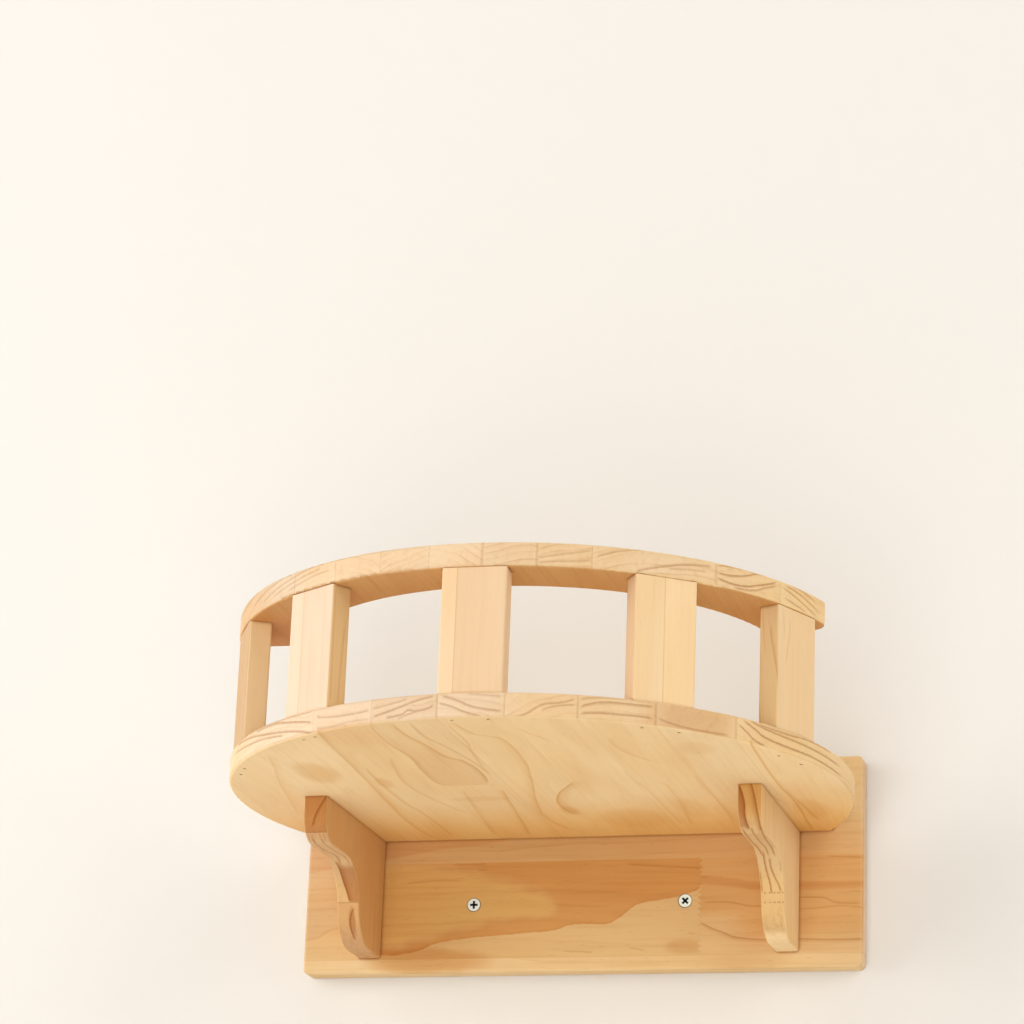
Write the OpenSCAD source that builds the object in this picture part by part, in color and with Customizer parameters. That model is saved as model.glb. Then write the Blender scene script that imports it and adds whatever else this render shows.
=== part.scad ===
// Wall-mounted pine cat perch: a back board, a disc platform on two ogee brackets,
// and a curved rail on five flat balusters.
// X runs right along the wall, -Y into the room, +Z up. The origin is on the wall,
// midway between the two wall screws.

/* [Back board] */
// Width of the back board
board_w = 400; // [380:1:480]
// Height of the back board
board_h = 148; // [140:1:200]
// Thickness of the back board
board_t = 16; // [14:1:22]
// Radius of the back board's corners, seen from the front
board_corner_r = 5; // [3:0.5:15]
// Radius of the eased arrises on every panel
arris_r = 2; // [1:0.25:3]

/* [Platform] */
// Diameter of the disc that the platform is cut from
platform_d = 420; // [380:1:460]
// Depth of the platform, from the back board to its front edge
platform_depth = 320; // [300:1:360]
// Thickness of the platform
platform_t = 16; // [14:1:22]
// Height of the platform's underside above the back board's bottom edge
platform_rise = 95; // [92:1:115]

/* [Rail] */
// Width of the rail
rail_w = 44; // [36:1:60]
// Thickness of the rail
rail_t = 16; // [14:1:22]
// How far the rail's edge lies inside the platform's edge
rail_inset = 1; // [0:0.5:6]
// Distance from the back board to the rail's cut ends, before the rail is turned
rail_end = 159; // [120:1:175]
// Radius of the outer corner of each rail end
rail_corner_r = 12; // [2:0.5:16]
// Angle by which the rail and its balusters are turned to the right round the disc's middle
run_turn = 2; // [0:0.5:3]

/* [Balusters] */
// Width of a baluster, along the curve
baluster_w = 42; // [30:1:48]
// Thickness of a baluster
baluster_t = 15; // [12:0.5:20]
// Height of a baluster, from the platform to the rail
baluster_h = 82; // [60:1:140]
// How far a baluster's flat face lies inside the rail's edge
baluster_inset = 1.5; // [1:0.5:6]
// Angle from the middle baluster to its neighbours
inner_step = 34; // [24:0.5:36]
// Angle from the middle baluster to the outermost ones
outer_step = 64; // [54:0.5:66]
// Radius of the eased edges of a baluster
baluster_arris_r = 1.5; // [0.5:0.25:3]

/* [Brackets] */
// Thickness of a bracket
bracket_t = 16; // [14:1:22]
// Depth of a bracket, from the back board to its nose
bracket_depth = 136; // [125:1:170]
// Height of a bracket, from the platform down
bracket_h = 84; // [78:1:90]
// Distance from the disc's widest point to the middle of the left bracket
bracket_inset_left = 59; // [55:1:100]
// Distance from the disc's widest point to the middle of the right bracket
bracket_inset_right = 62; // [55:1:100]
// Height of the bracket's upper lobe
lobe_h = 30; // [26:1:36]
// Radius of the rounded nose of the upper lobe
nose_r = 18; // [8:1:24]
// Radius of the hollow between the lobes
cove_r = 34; // [26:1:38]
// Radius of the rounded foot of the lower lobe
foot_r = 28; // [20:1:32]
// How far the lower lobe stands out from the back board
foot_reach = 54; // [46:1:66]
// Radius of the eased arrises of a bracket
bracket_arris_r = 1.25; // [0.5:0.25:2]

/* [Wall screws] */
// Distance between the two wall screws
wall_screw_gap = 152; // [120:1:200]
// Height of the wall screws above the back board's bottom edge
wall_screw_rise = 48; // [25:1:70]
// Diameter of a wall screw's thread
wall_screw_d = 5; // [4:0.5:6]
// Diameter of a wall screw's head
wall_head_d = 9.5; // [8:0.5:12]
// Length of a wall screw
wall_screw_len = 50; // [40:5:80]
// Angle by which the cross in the right wall screw is turned from the left one's
wall_cross_turn = 45; // [0:5:90]

/* [Assembly screws] */
// Diameter of an assembly screw's thread
screw_d = 4; // [3:0.5:5]
// Diameter of an assembly screw's head
screw_head_d = 8; // [7:0.5:9]
// Length of an assembly screw
screw_len = 35; // [30:1:45]
// Distance from the middle screw in the platform's back edge to the outer ones
edge_screw_gap = 110; // [60:1:125]
// Depth below the platform of the upper screw in a bracket's back edge
upper_screw_drop = 16; // [12:1:26]
// Depth below the platform of the lower screw in a bracket's back edge
lower_screw_drop = 62; // [46:1:68]
// Distance from the back board of the inner screw in a bracket's top edge
inner_screw_reach = 36; // [28:1:50]
// Distance from the back board of the outer screw in a bracket's top edge
outer_screw_reach = 108; // [80:1:112]
// How far each screw head lies below the wood
head_sink = 0.3; // [0.2:0.05:1]
// Share of a screw head's diameter that its cross recess spans
recess_share = 0.56; // [0.4:0.02:0.7]

/* [Brads] */
// Diameter of a brad's shank
brad_d = 1.4; // [1:0.1:2]
// Diameter of a brad's head
brad_head_d = 2.2; // [1.8:0.1:3]
// Length of a brad
brad_len = 35; // [30:1:45]
// Distance between the two brads in each end of the first baluster from the left
brad_gap_1 = 16; // [8:1:26]
// Distance between the two brads of the second baluster
brad_gap_2 = 11; // [8:1:26]
// Distance between the two brads of the third baluster
brad_gap_3 = 23; // [8:1:26]
// Distance between the two brads of the fourth baluster
brad_gap_4 = 25; // [8:1:26]
// Distance between the two brads of the fifth baluster
brad_gap_5 = 25; // [8:1:26]
// How far the brads lie outside the middle of a baluster's thickness
brad_outset = 3; // [0:0.5:3.5]
// Depth to which a brad's head is punched below the wood
brad_sink = 1; // [0.5:0.25:2]

/* [Hidden] */
// Radial room around the thread of a screw where it passes through a panel
shank_play = 0.25;
// Radial room around a thread or a brad in the wood that it bites
bite_play = 0.05;
// Thickness of a brad's head
brad_head_t = 0.8;
// Height of the straight rim of a screw head
rim_t = 0.3;
// Share of a thread's diameter that its plain neck has
neck_share = 0.72;
// Length of a screw's tip, in diameters of its thread
tip_share = 1.2;
// Length of a brad's tip, in diameters of its shank
brad_tip_share = 1.5;
// Thickness of a cross recess's wings, as a share of its span
wing_share = 0.2;
// Depth of a cross recess, as a share of its span
recess_depth_share = 0.42;
// Diameter of the middle of a cross recess, as a share of its span
recess_core_share = 0.34;
// Overshoot of every cut past the face that it opens
cut = 1;
// Number of steps in the eased arris of a bracket
arris_steps = 4;
// Number of steps in each quarter turn of a bracket's outline
arc_steps = 24;

board_bottom = -wall_screw_rise;
board_front = -board_t;
platform_bottom = board_bottom + platform_rise;
platform_top = platform_bottom + platform_t;
platform_r = platform_d / 2;
centre_y = board_front - platform_depth + platform_r;
rail_bottom = platform_top + baluster_h;
rail_r = platform_r - rail_inset;
rail_end_y = board_front - rail_end - centre_y;
baluster_face_r = rail_r - baluster_inset;
baluster_mid_r = baluster_face_r - baluster_t / 2;
baluster_angles = [for (a = [-outer_step, -inner_step, 0, inner_step, outer_step]) run_turn + a];
bracket_x = [bracket_inset_left - platform_r, platform_r - bracket_inset_right];
back_screw_drops = [upper_screw_drop, lower_screw_drop];
top_screw_reaches = [inner_screw_reach, outer_screw_reach];
brad_gaps = [brad_gap_1, brad_gap_2, brad_gap_3, brad_gap_4, brad_gap_5];
edge_screw_x = [-edge_screw_gap, 0, edge_screw_gap];
platform_mid = platform_bottom + platform_t / 2;
sides = ["left", "right"];
baluster_numbers = [1:len(baluster_angles)];
round_n = 96;
small_n = 48;

// Where things are

// Moves its children to baluster i's foot, with +Y pointing out of the curve
module at_baluster(i) {
    translate([0, centre_y, 0])
        rotate(180 + baluster_angles[i - 1])
            translate([0, baluster_mid_r, 0])
                children();
}

// Puts a child at each brad of baluster i
module at_brads(i) {
    at_baluster(i)
        for (side = [-0.5, 0.5])
            translate([side * brad_gaps[i - 1], brad_outset, 0])
                children();
}

// Puts a fastener, drawn along +Z with its head at the origin, into the wall side of the board
module from_wall(x, z) {
    translate([x, 0, z])
        rotate([90, 0, 0])
            children();
}

// Puts a fastener into the room side of the board, pointing at the wall
module from_room(x, z) {
    translate([x, board_front, z])
        rotate([-90, 0, 0])
            children();
}

// Puts a fastener into the platform's top over a bracket, pointing down
module from_above(x, reach) {
    translate([x, board_front - reach, platform_top])
        rotate([180, 0, 0])
            children();
}

// Fasteners and the holes that they make

// Countersunk screw along +Z, its head's top at z = head_sink
module countersunk_screw(d, head_d, len, neck_len) {
    neck_r = d * neck_share / 2;
    cone_h = head_d / 2 - neck_r;
    tip_h = d * tip_share;
    top = head_sink;
    difference() {
        rotate_extrude($fn = small_n)
            polygon([
                [0, top], [head_d / 2, top], [head_d / 2, top + rim_t],
                [neck_r, top + rim_t + cone_h], [neck_r, neck_len], [d / 2, neck_len],
                [d / 2, top + len - tip_h], [0, top + len]
            ]);
        translate([0, 0, top])
            cross_recess(head_d * recess_share);
    }
}

// Phillips recess that opens towards -Z, as wide as span
module cross_recess(span) {
    wing_t = span * wing_share;
    depth = span * recess_depth_share;
    for (a = [0, 90])
        rotate(a)
            rotate([90, 0, 0])
                linear_extrude(wing_t, center = true)
                    polygon([
                        [-span / 2, -cut], [span / 2, -cut], [span / 2, 0],
                        [wing_t / 2, depth], [-wing_t / 2, depth], [-span / 2, 0]
                    ]);
    translate([0, 0, -cut])
        cylinder(d = span * recess_core_share, h = cut + depth, $fn = small_n);
}

// Countersunk clearance hole for a screw along +Z from a face at z = 0, as long as depth
module countersunk_hole(d, head_d, depth) {
    neck_r = d * neck_share / 2;
    seat_h = head_d / 2 - neck_r;
    mouth_r = head_d / 2 + head_sink + rim_t;
    translate([0, 0, -cut])
        cylinder(r = d / 2 + shank_play, h = depth + 2 * cut, $fn = small_n);
    cylinder(r1 = mouth_r, r2 = neck_r, h = head_sink + rim_t + seat_h, $fn = small_n);
    translate([0, 0, -cut])
        cylinder(r = mouth_r, h = cut, $fn = small_n);
}

// Pilot hole that a thread bites, along +Z from z = 0
module pilot_hole(d, depth) {
    translate([0, 0, -cut])
        cylinder(r = d / 2 + bite_play, h = depth + cut, $fn = small_n);
}

// Brad along +Z, its head's top at z = brad_sink
module brad() {
    tip_h = brad_d * brad_tip_share;
    rotate_extrude($fn = small_n)
        polygon([
            [0, brad_sink], [brad_head_d / 2, brad_sink],
            [brad_head_d / 2, brad_sink + brad_head_t], [brad_d / 2, brad_sink + brad_head_t],
            [brad_d / 2, brad_sink + brad_len - tip_h], [0, brad_sink + brad_len]
        ]);
}

// Hole that a brad makes, with the pocket that its punched head leaves
module brad_hole() {
    translate([0, 0, -cut])
        cylinder(r = brad_head_d / 2 + bite_play, h = cut + brad_sink + brad_head_t, $fn = small_n);
    cylinder(r = brad_d / 2 + bite_play, h = brad_sink + brad_len, $fn = small_n);
}

module wall_screw() {
    countersunk_screw(wall_screw_d, wall_head_d, wall_screw_len, board_t);
}

module assembly_screw(panel_t) {
    countersunk_screw(screw_d, screw_head_d, screw_len, panel_t);
}

// Every foot brad's hole, from the platform's underside up
module foot_brad_holes(i) {
    at_brads(i)
        translate([0, 0, platform_bottom])
            brad_hole();
}

// Every rail brad's hole, from the rail's top down
module rail_brad_holes(i) {
    at_brads(i)
        translate([0, 0, rail_bottom + rail_t])
            mirror([0, 0, 1])
                brad_hole();
}

// Panel shapes

// Rectangle w by h centred on the origin with rounded corners
module rounded_rectangle(w, h, r) {
    square([w - 2 * r, h], center = true);
    square([w, h - 2 * r], center = true);
    for (x = [-1, 1], y = [-1, 1])
        translate([x * (w / 2 - r), y * (h / 2 - r)])
            circle(r, $fn = small_n);
}

// Ring or disc of radius r_out whose rim has eased arrises, standing on z = 0
module eased_ring(r_in, r_out, t) {
    rotate_extrude($fn = 2 * round_n) {
        translate([r_in, arris_r])
            square([r_out - r_in, t - 2 * arris_r]);
        translate([r_in + (r_in > 0 ? arris_r : 0), 0])
            square([r_out - r_in - arris_r * (r_in > 0 ? 2 : 1), t]);
        for (z = [arris_r, t - arris_r]) {
            translate([r_out - arris_r, z])
                circle(arris_r, $fn = small_n);
            if (r_in > 0)
                translate([r_in + arris_r, z])
                    circle(arris_r, $fn = small_n);
        }
    }
}

module back_board() {
    color("burlywood")
        difference() {
            translate([0, board_front / 2, board_bottom + board_h / 2])
                intersection() {
                    rotate([90, 0, 0])
                        linear_extrude(board_t, center = true)
                            rounded_rectangle(board_w, board_h, board_corner_r);
                    linear_extrude(board_h, center = true)
                        rounded_rectangle(board_w, board_t, arris_r);
                    rotate([90, 0, 90])
                        linear_extrude(board_w, center = true)
                            rounded_rectangle(board_t, board_h, arris_r);
                }
            for (x = [-wall_screw_gap / 2, wall_screw_gap / 2])
                from_room(x, 0)
                    countersunk_hole(wall_screw_d, wall_head_d, board_t);
            for (x = edge_screw_x)
                from_wall(x, platform_mid)
                    countersunk_hole(screw_d, screw_head_d, board_t);
            for (x = bracket_x, drop = back_screw_drops)
                from_wall(x, platform_bottom - drop)
                    countersunk_hole(screw_d, screw_head_d, board_t);
        }
}

module platform() {
    color("wheat")
        difference() {
            translate([0, centre_y, platform_bottom])
                eased_ring(0, platform_r, platform_t);
            translate([-platform_r, board_front, platform_bottom - cut])
                cube([platform_d, platform_d, platform_t + 2 * cut]);
            for (x = edge_screw_x)
                translate([0, board_front, 0])
                    from_wall(x, platform_mid)
                        pilot_hole(screw_d, screw_len - board_t + head_sink);
            for (x = bracket_x, reach = top_screw_reaches)
                from_above(x, reach)
                    countersunk_hole(screw_d, screw_head_d, platform_t);
            for (i = baluster_numbers)
                foot_brad_holes(i);
        }
}

// Outline of the room side of the rail's cut, with the outer corner of each end rounded.
// Its origin is the disc's middle.
module rail_reach() {
    end_x = sqrt(pow(rail_r - rail_corner_r, 2) - pow(rail_end_y - rail_corner_r, 2));
    translate([-platform_r, rail_end_y - rail_corner_r - platform_d])
        square([platform_d, platform_d]);
    translate([-end_x, rail_end_y - platform_d])
        square([2 * end_x, platform_d]);
    for (side = [-1, 1])
        translate([side * end_x, rail_end_y - rail_corner_r])
            circle(rail_corner_r, $fn = small_n);
}

module top_rail() {
    color("wheat")
        difference() {
            translate([0, centre_y, rail_bottom])
                rotate(run_turn)
                    intersection() {
                        eased_ring(rail_r - rail_w, rail_r, rail_t);
                        translate([0, 0, -cut])
                            linear_extrude(rail_t + 2 * cut)
                                rail_reach();
                    }
            for (i = baluster_numbers)
                rail_brad_holes(i);
        }
}

module baluster(i) {
    color("moccasin")
        difference() {
            at_baluster(i)
                translate([0, 0, platform_top])
                    linear_extrude(baluster_h)
                        rounded_rectangle(baluster_w, baluster_t, baluster_arris_r);
            foot_brad_holes(i);
            rail_brad_holes(i);
        }
}

// Points along an arc, from angle a0 to a1
function arc(c, r, a0, a1) = [
    let (n = max(2, ceil(abs(a1 - a0) / 90 * arc_steps)))
        for (k = [0:n]) let (a = a0 + (a1 - a0) * k / n) c + r * [cos(a), sin(a)]
];

// Ogee outline of a bracket, x out from the back board and y down from the platform,
// drawn in by e on its free edges: a nosed upper lobe, a hollow, and a rounded foot
function ogee(e) =
    let (
        foot = [foot_reach - foot_r, bracket_h - foot_r],
        cove_y = lobe_h + cove_r,
        cove_x = foot[0] + sqrt(pow(foot_r + cove_r, 2) - pow(cove_y - foot[1], 2)),
        turn = atan2(cove_y - foot[1], cove_x - foot[0]),
        nose = [bracket_depth - nose_r, lobe_h - nose_r]
    )
    concat(
        [[0, 0], [bracket_depth - e, 0]],
        arc(nose, nose_r - e, 0, 90),
        arc([cove_x, cove_y], cove_r + e, 270, 180 + turn),
        arc(foot, foot_r - e, turn, 90),
        [[0, bracket_h - e]]
    );

// Place and draw-in of each ring of a bracket's outline, round both of its arrises
function bracket_rings(r) = concat(
    [for (k = [0:arris_steps]) let (a = 90 * k / arris_steps)
        [-bracket_t / 2 + r - r * cos(a), r - r * sin(a)]],
    [for (k = [arris_steps:-1:0]) let (a = 90 * k / arris_steps)
        [bracket_t / 2 - r + r * cos(a), r - r * sin(a)]]
);

// Bracket solid, centred on x = 0: rings of the outline, joined by walls, with each
// side face fanned out from its top corner at the back board
module ogee_plate() {
    rings = bracket_rings(bracket_arris_r);
    n = len(ogee(0));
    last = (len(rings) - 1) * n;
    points = [
        for (ring = rings, p = ogee(ring[1]))
            [ring[0], board_front - p[0], platform_bottom - p[1]]
    ];
    walls = [
        for (k = [0:len(rings) - 2], j = [0:n - 1])
            let (a = k * n + j, b = k * n + (j + 1) % n)
                for (f = [[a, a + n, b], [b, a + n, b + n]]) f
    ];
    faces = [
        for (j = [1:n - 2])
            for (f = [[0, j, j + 1], [last, last + j + 1, last + j]]) f
    ];
    polyhedron(points, concat(walls, faces));
}

module bracket(side) {
    x = bracket_x[side];
    color("peru")
        difference() {
            translate([x, 0, 0])
                ogee_plate();
            for (drop = back_screw_drops)
                translate([0, board_front, 0])
                    from_wall(x, platform_bottom - drop)
                        pilot_hole(screw_d, screw_len - board_t + head_sink);
            for (reach = top_screw_reaches)
                translate([0, 0, -platform_t])
                    from_above(x, reach)
                        pilot_hole(screw_d, screw_len - platform_t + head_sink);
        }
}

module wall_screw_at(side) {
    color("silver")
        from_room((side - 0.5) * wall_screw_gap, 0)
            rotate(side * wall_cross_turn)
                wall_screw();
}

module platform_screw(k) {
    color("silver")
        from_wall(edge_screw_x[k], platform_mid)
            assembly_screw(board_t);
}

module bracket_back_screws(side) {
    color("silver")
        for (drop = back_screw_drops)
            from_wall(bracket_x[side], platform_bottom - drop)
                assembly_screw(board_t);
}

module bracket_top_screws(side) {
    color("silver")
        for (reach = top_screw_reaches)
            from_above(bracket_x[side], reach)
                assembly_screw(platform_t);
}

module foot_brads(i) {
    color("dimgray")
        at_brads(i)
            translate([0, 0, platform_bottom])
                brad();
}

module rail_brads(i) {
    color("dimgray")
        at_brads(i)
            translate([0, 0, rail_bottom + rail_t])
                mirror([0, 0, 1])
                    brad();
}

back_board();
platform();
top_rail();
for (i = baluster_numbers) {
    baluster(i);
    foot_brads(i);
    rail_brads(i);
}
for (side = [0, 1]) {
    bracket(side);
    wall_screw_at(side);
    bracket_back_screws(side);
    bracket_top_screws(side);
}
platform_screw(0);  // platform_screw_left
platform_screw(1);  // platform_screw_middle
platform_screw(2);  // platform_screw_right
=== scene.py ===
"""Looks of a wall-mounted pine cat perch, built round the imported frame.

Metres, in the frame's own axes: X right along the wall, -Y into the room, +Z up.
Inside the wood materials all lengths are in millimetres.
"""
import copy
import math

import bmesh
import bpy
from mathutils import Matrix, Vector


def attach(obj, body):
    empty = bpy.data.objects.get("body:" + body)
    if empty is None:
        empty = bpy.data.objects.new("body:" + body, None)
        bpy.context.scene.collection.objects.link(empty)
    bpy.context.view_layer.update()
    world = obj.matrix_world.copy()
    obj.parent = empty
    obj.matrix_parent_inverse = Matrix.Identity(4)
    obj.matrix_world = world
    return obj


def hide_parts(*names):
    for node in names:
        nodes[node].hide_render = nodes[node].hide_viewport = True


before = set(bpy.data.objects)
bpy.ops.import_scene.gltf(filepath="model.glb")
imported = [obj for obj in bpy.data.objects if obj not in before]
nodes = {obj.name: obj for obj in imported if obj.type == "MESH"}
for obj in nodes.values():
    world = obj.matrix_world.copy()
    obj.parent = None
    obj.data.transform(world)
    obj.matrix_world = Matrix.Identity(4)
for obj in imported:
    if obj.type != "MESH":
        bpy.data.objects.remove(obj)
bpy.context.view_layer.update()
MM = 0.001
X, Y, Z = (1, 0, 0), (0, 1, 0), (0, 0, 1)


# Node graphs, written as formulas

SMALLEST_SPAN = 1e-6
CHANNELS = ("Red", "Green", "Blue")
# A Mix node's colour sockets: it has others with the same names
MIX_FIRST, MIX_SECOND, MIX_RESULT = 6, 7, 2


class Field:
    """One output socket of a shader tree, with arithmetic."""

    def __init__(self, graph, socket):
        self.graph = graph
        self.socket = socket

    def __add__(self, other):
        return self.graph.math("ADD", self, other)

    __radd__ = __add__

    def __sub__(self, other):
        return self.graph.math("SUBTRACT", self, other)

    def __rsub__(self, other):
        return self.graph.math("SUBTRACT", other, self)

    def __mul__(self, other):
        return self.graph.math("MULTIPLY", self, other)

    __rmul__ = __mul__

    def __truediv__(self, other):
        return self.graph.math("DIVIDE", self, other)


class Graph:
    """Adds nodes to one material's tree."""

    def __init__(self, tree):
        self.tree = tree

    def link(self, value, socket):
        if isinstance(value, Field):
            self.tree.links.new(value.socket, socket)
        elif socket.type == "VECTOR" and isinstance(value, (int, float)):
            socket.default_value = (value, value, value)
        elif socket.type == "RGBA" and len(value) == 3:
            socket.default_value = (*value, 1.0)
        else:
            socket.default_value = value

    def node(self, kind, inputs=None, output=0, **settings):
        made = self.tree.nodes.new(kind)
        for name, value in settings.items():
            setattr(made, name, value)
        for name, value in (inputs or {}).items():
            self.link(value, made.inputs[name])
        return Field(self, made.outputs[output])

    def math(self, operation, *values):
        return self.node("ShaderNodeMath", dict(enumerate(values)), operation=operation)

    def vector(self, operation, *values, output="Vector"):
        return self.node("ShaderNodeVectorMath", dict(enumerate(values)), output, operation=operation)

    def size(self, value):
        return self.math("ABSOLUTE", value)

    def most(self, *values):
        result = values[0]
        for value in values[1:]:
            result = self.math("MAXIMUM", result, value)
        return result

    def join(self, x, y, z):
        return self.node("ShaderNodeCombineXYZ", {"X": x, "Y": y, "Z": z})

    def split(self, vector):
        made = self.node("ShaderNodeSeparateXYZ", {"Vector": vector}).socket.node
        return [Field(self, made.outputs[axis]) for axis in "XYZ"]

    def channels(self, colour):
        made = self.node("ShaderNodeSeparateColor", {"Color": colour}).socket.node
        return [Field(self, made.outputs[name]) for name in CHANNELS]

    def smooth(self, value, low, high):
        """Smooth step from 0, where value is low, to 1 where it is high; numbers may also run downwards."""
        if not isinstance(low, Field) and not isinstance(high, Field) and low > high:
            return 1.0 - self.smooth(value, high, low)
        inputs = {"Value": value, "From Min": low, "From Max": high}
        return self.node("ShaderNodeMapRange", inputs, interpolation_type="SMOOTHSTEP")

    def noise(self, vector, detail=2.0, roughness=0.5, output="Fac"):
        inputs = {"Vector": vector, "Scale": 1.0, "Detail": detail, "Roughness": roughness}
        return self.node("ShaderNodeTexNoise", inputs, output)

    def random(self, x, y=0.0):
        """Three random numbers from 0 to 1 that hang on x and y."""
        return self.channels(self.node("ShaderNodeTexWhiteNoise", {"Vector": self.join(x, y, 0.0)}, "Color"))

    def stain(self, colour, amount, tint):
        """colour, multiplied by tint as far as amount says."""
        made = self.tree.nodes.new("ShaderNodeMix")
        made.data_type = "RGBA"
        made.blend_type = "MULTIPLY"
        made.clamp_factor = True
        self.link(amount, made.inputs["Factor"])
        self.link(colour, made.inputs[MIX_FIRST])
        self.link(tint, made.inputs[MIX_SECOND])
        return Field(self, made.outputs[MIX_RESULT])

    def steps(self, value, starts, columns):
        """Numbers that hold from each start to the next one, one Field for each column.

        One colour ramp carries as many columns as a colour has channels.
        """
        low, high = starts[0], starts[-1] + 1.0
        position = (value - low) / (high - low)
        fields = []
        for first in range(0, len(columns), len(CHANNELS)):
            group = columns[first:first + len(CHANNELS)]
            spans = [(min(column), max(max(column) - min(column), SMALLEST_SPAN)) for column in group]
            made = self.tree.nodes.new("ShaderNodeValToRGB")
            ramp = made.color_ramp
            ramp.interpolation = "CONSTANT"
            for index, start in enumerate(starts):
                place = (start - low) / (high - low)
                element = ramp.elements[0] if index == 0 else ramp.elements.new(place)
                element.position = place
                shares = [(column[index] - base) / span for column, (base, span) in zip(group, spans)]
                shares += [0.0] * (len(CHANNELS) - len(shares))
                element.color = (*shares, 1.0)
            while len(ramp.elements) > len(starts):
                ramp.elements.remove(ramp.elements[-1])
            self.link(position, made.inputs["Fac"])
            parts = self.channels(Field(self, made.outputs["Color"]))
            fields += [part * span + base for part, (base, span) in zip(parts, spans)]
        return fields

    def curve(self, value, points):
        """A smooth line through points (value, result)."""
        places, results = zip(*points)
        low, span = places[0], places[-1] - places[0]
        base, height = min(results), max(max(results) - min(results), SMALLEST_SPAN)
        made = self.tree.nodes.new("ShaderNodeFloatCurve")
        line = made.mapping.curves[0]
        for index, (place, result) in enumerate(points):
            spot = ((place - low) / span, (result - base) / height)
            if index in (0, len(points) - 1):
                line.points[-1 if index else 0].location = spot
            else:
                line.points.new(*spot)
        made.mapping.update()
        self.link((value - low) / span, made.inputs["Value"])
        return Field(self, made.outputs["Value"]) * height + base

    def within(self, value, low, high, fade):
        """1 between low and high, fading out over fade inside both."""
        return self.smooth(value, low, low + fade) * self.smooth(value, high, high - fade)


def new_material(name, **settings):
    """A material with one Principled shader, and its graph."""
    material = bpy.data.materials.new(name)
    material.use_nodes = True
    shader = next(n for n in material.node_tree.nodes if n.type == "BSDF_PRINCIPLED")
    for socket, value in settings.items():
        shader.inputs[socket.replace("_", " ")].default_value = value
    return material, Graph(material.node_tree), shader


# Pine

PALE = (0.815, 0.608, 0.343)
WARM_TINT = (0.96, 0.88, 0.76)
LATE_TINT = (0.73, 0.53, 0.33)
RED_TINT = (0.90, 0.70, 0.52)
HEART_TINT = (0.81, 0.575, 0.34)
DEEP_TINT = (0.66, 0.43, 0.27)
GOLD_TINT = (0.82, 0.62, 0.36)
RIM_TINT = (0.58, 0.39, 0.25)
END_TINT = (0.945, 0.93, 1.04)
SEAM_TINT = (0.50, 0.34, 0.22)
CONTACT_SHADE_TINT = (0.56, 0.36, 0.21)
FINGER_PITCH = 4.0
# The outer staves count as reaching this far out, so that no glue line shows at the piece's own edge
BEFORE_STAVES = 90.0
BEYOND_STAVES = 900.0
# The place of the finger joint in a stave without one
NO_JOINT = 900.0


def make_line_group():
    """The profile of a dark latewood line: sharp on one side, with a soft tail on the other."""
    tree = bpy.data.node_groups.new("latewood_line", "ShaderNodeTree")
    names = ("Off", "Side", "Width", "Tail", "Along", "Low", "High", "Fade", "Strength")
    for socket in names:
        tree.interface.new_socket(socket, in_out="INPUT", socket_type="NodeSocketFloat")
    tree.interface.new_socket("Amount", in_out="OUTPUT", socket_type="NodeSocketFloat")
    g = Graph(tree)
    source = g.node("NodeGroupInput").socket.node
    off, side, width, tail, along, low, high, fade, strength = [
        Field(g, source.outputs[socket]) for socket in names
    ]
    off = off * side
    near, far = g.smooth(off, 0.0, width * 2.5), g.smooth(off, 0.0, tail)
    profile = (1.0 - near * 0.5 - far * 0.5) * g.smooth(off, width * -1.0, 0.0)
    reach = g.smooth(along, low, low + fade) * (1.0 - g.smooth(along, high - fade, high))
    g.link(profile * reach * strength, tree.nodes.new("NodeGroupOutput").inputs["Amount"])
    return tree


LINE_GROUP = make_line_group()


class Grain:
    """Where a point lies in the wood: along the grain, across the staves and through them."""

    def __init__(self, g, origin, axes):
        self.g = g
        spot = g.node("ShaderNodeTexCoord", output="Object")
        point = g.vector("SCALE", g.vector("SUBTRACT", spot, origin))
        point.socket.node.inputs["Scale"].default_value = 1 / MM
        places = [g.vector("DOT_PRODUCT", point, axis, output="Value") for axis in axes]
        self.u, self.v, self.w = places
        normal = g.node("ShaderNodeTexCoord", output="Normal")
        turns = [g.vector("DOT_PRODUCT", normal, axis, output="Value") for axis in axes]
        self.end, self.side, self.face = turns

    def seen(self, u, v):
        """The same, with other directions for the figure on an edge of the piece."""
        other = copy.copy(self)
        other.u, other.v = u, v
        return other

    def scaled(self, along, across, shift=0.0):
        """The place to look up a noise, drawn out along the grain."""
        return self.g.join(self.u * along + shift, self.v * across, self.w * across)

    def line(self, points, strength, width, tail, fade=14.0):
        """A dark latewood line through points (u, v), soft on the side that tail points to."""
        g = self.g
        inputs = {
            "Off": self.v - g.curve(self.u, points),
            "Side": math.copysign(1.0, tail),
            "Width": width,
            "Tail": abs(tail),
            "Along": self.u,
            "Low": points[0][0],
            "High": points[-1][0],
            "Fade": fade,
            "Strength": strength,
        }
        return g.node("ShaderNodeGroup", inputs, "Amount", node_tree=LINE_GROUP)

    def beyond(self, points, soft):
        """1 on the far side of the line through points (u, v)."""
        return self.g.smooth(self.v - self.g.curve(self.u, points), -soft, soft)

    def spot(self, u, v, half_length, half_width):
        """1 in the middle of a soft oval, 0 outside it."""
        along, across = (self.u - u) / half_length, (self.v - v) / half_width
        return self.g.smooth(along * along + across * across, 1.0, 0.15)

    def rippled(self, size, frequency):
        """The same, with v wavering by size, for an edge that isn't smooth."""
        wave = self.g.noise(self.g.join(self.u * frequency, self.v * frequency * 1.5, 2.0), 2.0)
        return self.seen(self.u, self.v + (wave - 0.5) * (2 * size))

    def frayed(self, size):
        """The same, with v wavering by size over about a millimetre, for the rough lines on sawn edges."""
        return self.rippled(size, 0.8)


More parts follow.
